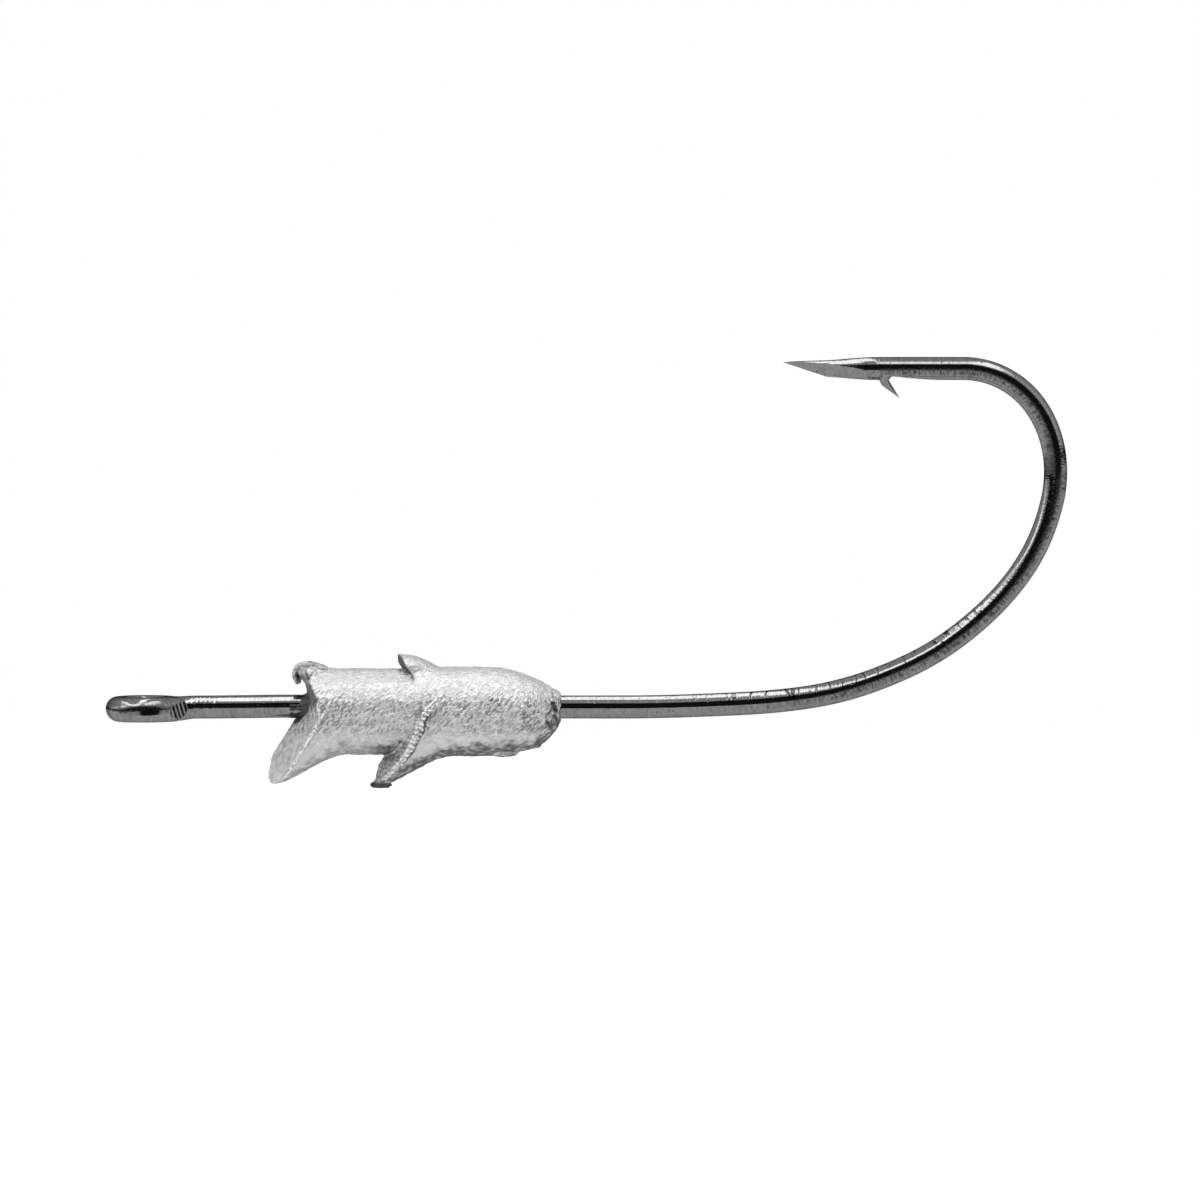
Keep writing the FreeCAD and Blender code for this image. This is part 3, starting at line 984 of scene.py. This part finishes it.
def cast_lead():
    """Bright frosty lead: fine grain all over, wormy chill marks along the flanks whose dark tone is partly
    painted shade, painted shade in hollows, round the hole and underneath, and paler torn flash that is
    partly a painted highlight.
    """
    material, tree, shader = new_material("frosty_lead")
    place_mm = place_in_mm(tree)
    x, y, z = parts_of(tree, place_mm)
    grain = speckle(tree, place_mm, 2.6, 3.0, 0.55, 0.5)
    frost = speckle(tree, place_mm, 8.0, 2.0, 0.55)
    # Chill marks are short slanted worms, crowded on the middle of the flanks; their dark tone there is
    # partly painted shade.
    turned = tree.nodes.new("ShaderNodeMapping")
    tree.links.new(place_mm, turned.inputs["Vector"])
    turned.vector_type = "TEXTURE"
    turned.inputs["Rotation"].default_value = (0, math.radians(42), 0)
    turned.inputs["Scale"].default_value = (1.0, 1.0, 2.0)
    worms = speckle(tree, turned.outputs[0], 6.2, 1.0, 0.5, 0.5)
    furrows = ramp(tree, worms, 0.40, 0.50, 1.0, 0.0)
    marks_and_shade_band = ramp(tree, calc(tree, "ABSOLUTE", calc(tree, "ADD", z, 0.5)), 0.7, 1.4, 1.0, 0.0)
    marks_and_shade_band = times(tree, marks_and_shade_band, ramp(tree, x, 17.5, 22.5, 0.75, 1.0))
    patches = ramp(tree, speckle(tree, place_mm, 0.9, 2.0), 0.36, 0.54, 0.35, 1.0)
    chill = times_plus(tree, times(tree, marks_and_shade_band, patches), 0.8, 0.2)
    marks = times(tree, furrows, chill)
    ridged = times(tree, ramp(tree, worms, 0.35, 0.62), chill)
    painted_shade_and_dark_marks = read_attribute(tree, "painted_shade_and_dark_marks", "Fac")
    torn = read_attribute(tree, "torn", "Fac")
    burrs = speckle(tree, place_mm, 6.5, 1.0, 0.5)
    height = times_plus(tree, grain, 0.2, times(tree, frost, 0.3))
    height = times_plus(tree, ridged, 0.85, height)
    height = times_plus(tree, burrs, torn, height)
    feed(tree, shader.inputs["Normal"], bump(tree, height, 0.16))
    tone = times_plus(tree, grain, 0.5, times(tree, frost, 0.5))
    tone = ramp(tree, tone, 0.3, 0.7, 0.62, 1.0)
    # The marks darken the middle band: real marks, and partly painted shade.
    tone = minus(tree, tone, times(tree, marks, 0.62))
    clean = shade(tree, tone, (0.15, 0.15, 0.152), (0.61, 0.61, 0.615))
    # The dark tone for painted shade.
    painted_shade_tone = shade(tree, frost, (0.03, 0.03, 0.032), (0.12, 0.12, 0.122))
    # Paler where flash is torn: bright metal, and partly a painted highlight on the crests.
    pale = shade(tree, ramp(tree, burrs, 0.36, 0.5), (0.36, 0.36, 0.362), (0.88, 0.88, 0.885))
    # The lead's colour: painted shade pulls it to the dark tone, and torn flash makes it paler, partly as a
    # painted highlight.
    colour = mix(tree, torn, mix(tree, painted_shade_and_dark_marks, clean, painted_shade_tone), pale)
    feed(tree, shader.inputs["Base Color"], colour)
    feed(tree, shader.inputs["Roughness"], ramp(tree, frost, 0.3, 0.7, 0.48, 0.58))
    shader.inputs["Metallic"].default_value = 1.0
    shader.inputs["Specular Tint"].default_value = (0.4, 0.4, 0.4, 1)
    return material


hook.data.materials.clear()
hook.data.materials.append(plated_steel())
weight.data.materials.append(cast_lead())


# ---- floor, light, camera

floor_drop = 26.0  # below the shank
floor_front = 130.0  # the tabletop ends this far in front of the hook
floor_reach = 900.0


def make_floor():
    """A tabletop with a softly rounded front edge."""
    columns, rows = 24, 24
    verts = []
    for row in range(rows + 1):
        share = row / rows
        y = -floor_front + (floor_front + floor_reach) * share ** 2
        drop = 2.0 * (1 - smooth(np.array(share), 0.0, 0.12))
        for column in range(columns + 1):
            x = floor_reach * (2 * column / columns - 1)
            verts.append((x, y, -floor_drop - float(drop)))
    faces = []
    for row in range(rows):
        for column in range(columns):
            a = row * (columns + 1) + column
            faces.append((a, a + 1, a + columns + 2, a + columns + 1))
    return np.array(verts) * MM, faces


floor = new_piece("tabletop", *make_floor(), None)
material, tree, shader = new_material("pale_tabletop")
coordinates = tree.nodes.new("ShaderNodeTexCoord").outputs["Object"]
mottle = speckle(tree, coordinates, 60.0, 3.0)
feed(tree, shader.inputs["Base Color"], shade(tree, mottle, (0.80, 0.80, 0.80), (0.84, 0.84, 0.84)))
shader.inputs["Roughness"].default_value = 0.8
shader.inputs["Specular IOR Level"].default_value = 0.1
floor.data.materials.append(material)


# The tent's lights, by direction. Away is the angle from the front (-Y), and round goes from the
# top (0) towards -X (90). The lamp overhead: round, and its near and far edges and its strength.
lamp_near = (
    (-80, 75), (-40, 70), (-20, 50), (-2, 45), (-1, 80), (1, 80), (4, 60), (14, 45), (35, 45), (45, 55),
)
lamp_far = (
    (-80, 90), (-40, 80), (-20, 95), (-5, 70), (-2, 70), (-1, 125), (1, 125), (4, 105), (14, 60), (34, 60),
    (35, 110), (45, 85),
)
lamp_level = ((-80, 0.5), (-40, 0.7), (-20, 4.0), (-2, 3.0), (-1, 4.5), (45, 4.5), (48, 0))
# A thin lamp bent like a bow on the left: round, and its middle and its strength.
bow_middle = ((45, 100), (55, 70), (60, 68), (90, 112))
bow_level = ((46, 0), (50, 4.0), (66, 4.0), (80, 1.4), (90, 0))
# The dark gap that the camera looks through: its top edge by the angle aside, and the edge of its
# left wing by the angle round.
gap_top = ((-45, 25), (0, 40), (30, 40), (55, 25), (60, 10))
wing_edge = ((45, 52), (62, 48), (90, 72))


def profile(tree, value, knots):
    """A broken line through knots, read at a value."""
    total = knots[0][1]
    for (low, start), (high, end) in zip(knots, knots[1:]):
        if end != start:
            total = calc(tree, "ADD", total, ramp(tree, value, low, high, 0.0, end - start))
    return total


def light_tent():
    """A pale tent round the object: a lamp overhead, and a dark gap in front."""
    world = bpy.data.worlds.new("tent")
    bpy.context.scene.world = world
    world.use_nodes = True
    tree = world.node_tree
    tree.nodes.clear()
    dx, dy, dz = parts_of(tree, tree.nodes.new("ShaderNodeTexCoord").outputs["Generated"])
    degrees = 180 / math.pi
    front = times(tree, dy, -1.0)
    away = times(tree, calc(tree, "ARCCOSINE", front), degrees)
    round_ = times(tree, calc(tree, "ARCTAN2", times(tree, dx, -1.0), dz), degrees)
    aside = times(tree, calc(tree, "ARCTAN2", dx, front), degrees)
    above = times(tree, calc(tree, "ARCSINE", dz), degrees)

    soft = 3.5
    lamp = ramp(tree, minus(tree, away, profile(tree, round_, lamp_near)), -soft, soft)
    past = minus(tree, away, profile(tree, round_, lamp_far))
    past = ramp(tree, past, -soft, soft, 1.0, 0.0)
    lamp = times(tree, times(tree, lamp, past), profile(tree, round_, lamp_level))
    bow = calc(tree, "ABSOLUTE", minus(tree, away, profile(tree, round_, bow_middle)))
    bow = times(tree, ramp(tree, bow, 4.0, 10.0, 1.0, 0.0), profile(tree, round_, bow_level))

    gap = minus(tree, above, profile(tree, aside, gap_top))
    gap = ramp(tree, gap, -4.0, 4.0, 1.0, 0.0)
    gap = times(tree, gap, ramp(tree, above, -52.0, -38.0))
    gap = times(tree, gap, ramp(tree, aside, -50.0, -40.0))
    right_edge = times_plus(tree, calc(tree, "MINIMUM", above, 10.0), 0.9, 51.0)
    right_edge = ramp(tree, minus(tree, aside, right_edge), -6.0, 6.0, 1.0, 0.0)
    gap = times(tree, gap, right_edge)
    wing = minus(tree, away, profile(tree, round_, wing_edge))
    wing = times(tree, ramp(tree, wing, -5.0, 5.0, 1.0, 0.0), ramp(tree, round_, 46.0, 52.0))
    gap = calc(tree, "MAXIMUM", gap, wing)
    # Below the wing, on the left, a pale wall shows instead.
    wall = ramp(tree, round_, 146.0, 156.0, 1.0, 0.0)
    wall = times(tree, wall, ramp(tree, round_, 91.5, 93.5))
    wall = times(tree, wall, ramp(tree, away, 3.0, 20.0))
    gap = times(tree, gap, minus(tree, 1.0, wall))
    gap = calc(tree, "MAXIMUM", gap, times(tree, ramp(tree, away, 140.0, 158.0), 0.85))
    # The tent's hem is a dark line that climbs to the right.
    hem = minus(tree, above, times_plus(tree, dx, 3.1, 4.9))
    hem = ramp(tree, calc(tree, "ABSOLUTE", hem), 2.4, 3.6, 1.0, 0.0)
    gap = calc(tree, "MAXIMUM", gap, hem)

    # The backdrop is white at strength 1, for the camera and in the metal alike.
    paths = tree.nodes.new("ShaderNodeLightPath").outputs
    camera_ray = paths["Is Camera Ray"]
    shown = calc(tree, "MAXIMUM", paths["Is Glossy Ray"], paths["Is Transmission Ray"])
    shown = calc(tree, "MAXIMUM", camera_ray, shown)
    lit = minus(tree, 1.0, camera_ray)
    level = times_plus(tree, shown, 0.05, 0.95)
    level = times_plus(tree, calc(tree, "ADD", lamp, bow), lit, level)
    shut = times(tree, times(tree, gap, 0.97), lit)
    level = times(tree, level, minus(tree, 1.0, shut))
    tent = tree.nodes.new("ShaderNodeBackground")
    tent.inputs["Color"].default_value = (1, 1, 1, 1)
    feed(tree, tent.inputs["Strength"], level)
    tree.links.new(tent.outputs[0], tree.nodes.new("ShaderNodeOutputWorld").inputs["Surface"])


light_tent()

view_width = 75.0  # what the frame takes in at the hook's plane
lens = 150.0
sensor = 36.0
aim = Vector((28.44, 0.0, 6.69))
camera_data = bpy.data.cameras.new("camera")
camera_data.lens = lens
camera_data.sensor_width = sensor
camera = bpy.data.objects.new("camera", camera_data)
camera.location = (aim - Y * view_width * lens / sensor) * MM
camera.rotation_euler = (math.radians(90), 0, 0)
camera_data.clip_start = 0.01
camera_data.clip_end = 10
bpy.context.scene.collection.objects.link(camera)
bpy.context.scene.camera = camera
bpy.context.scene.view_settings.view_transform = "Standard"
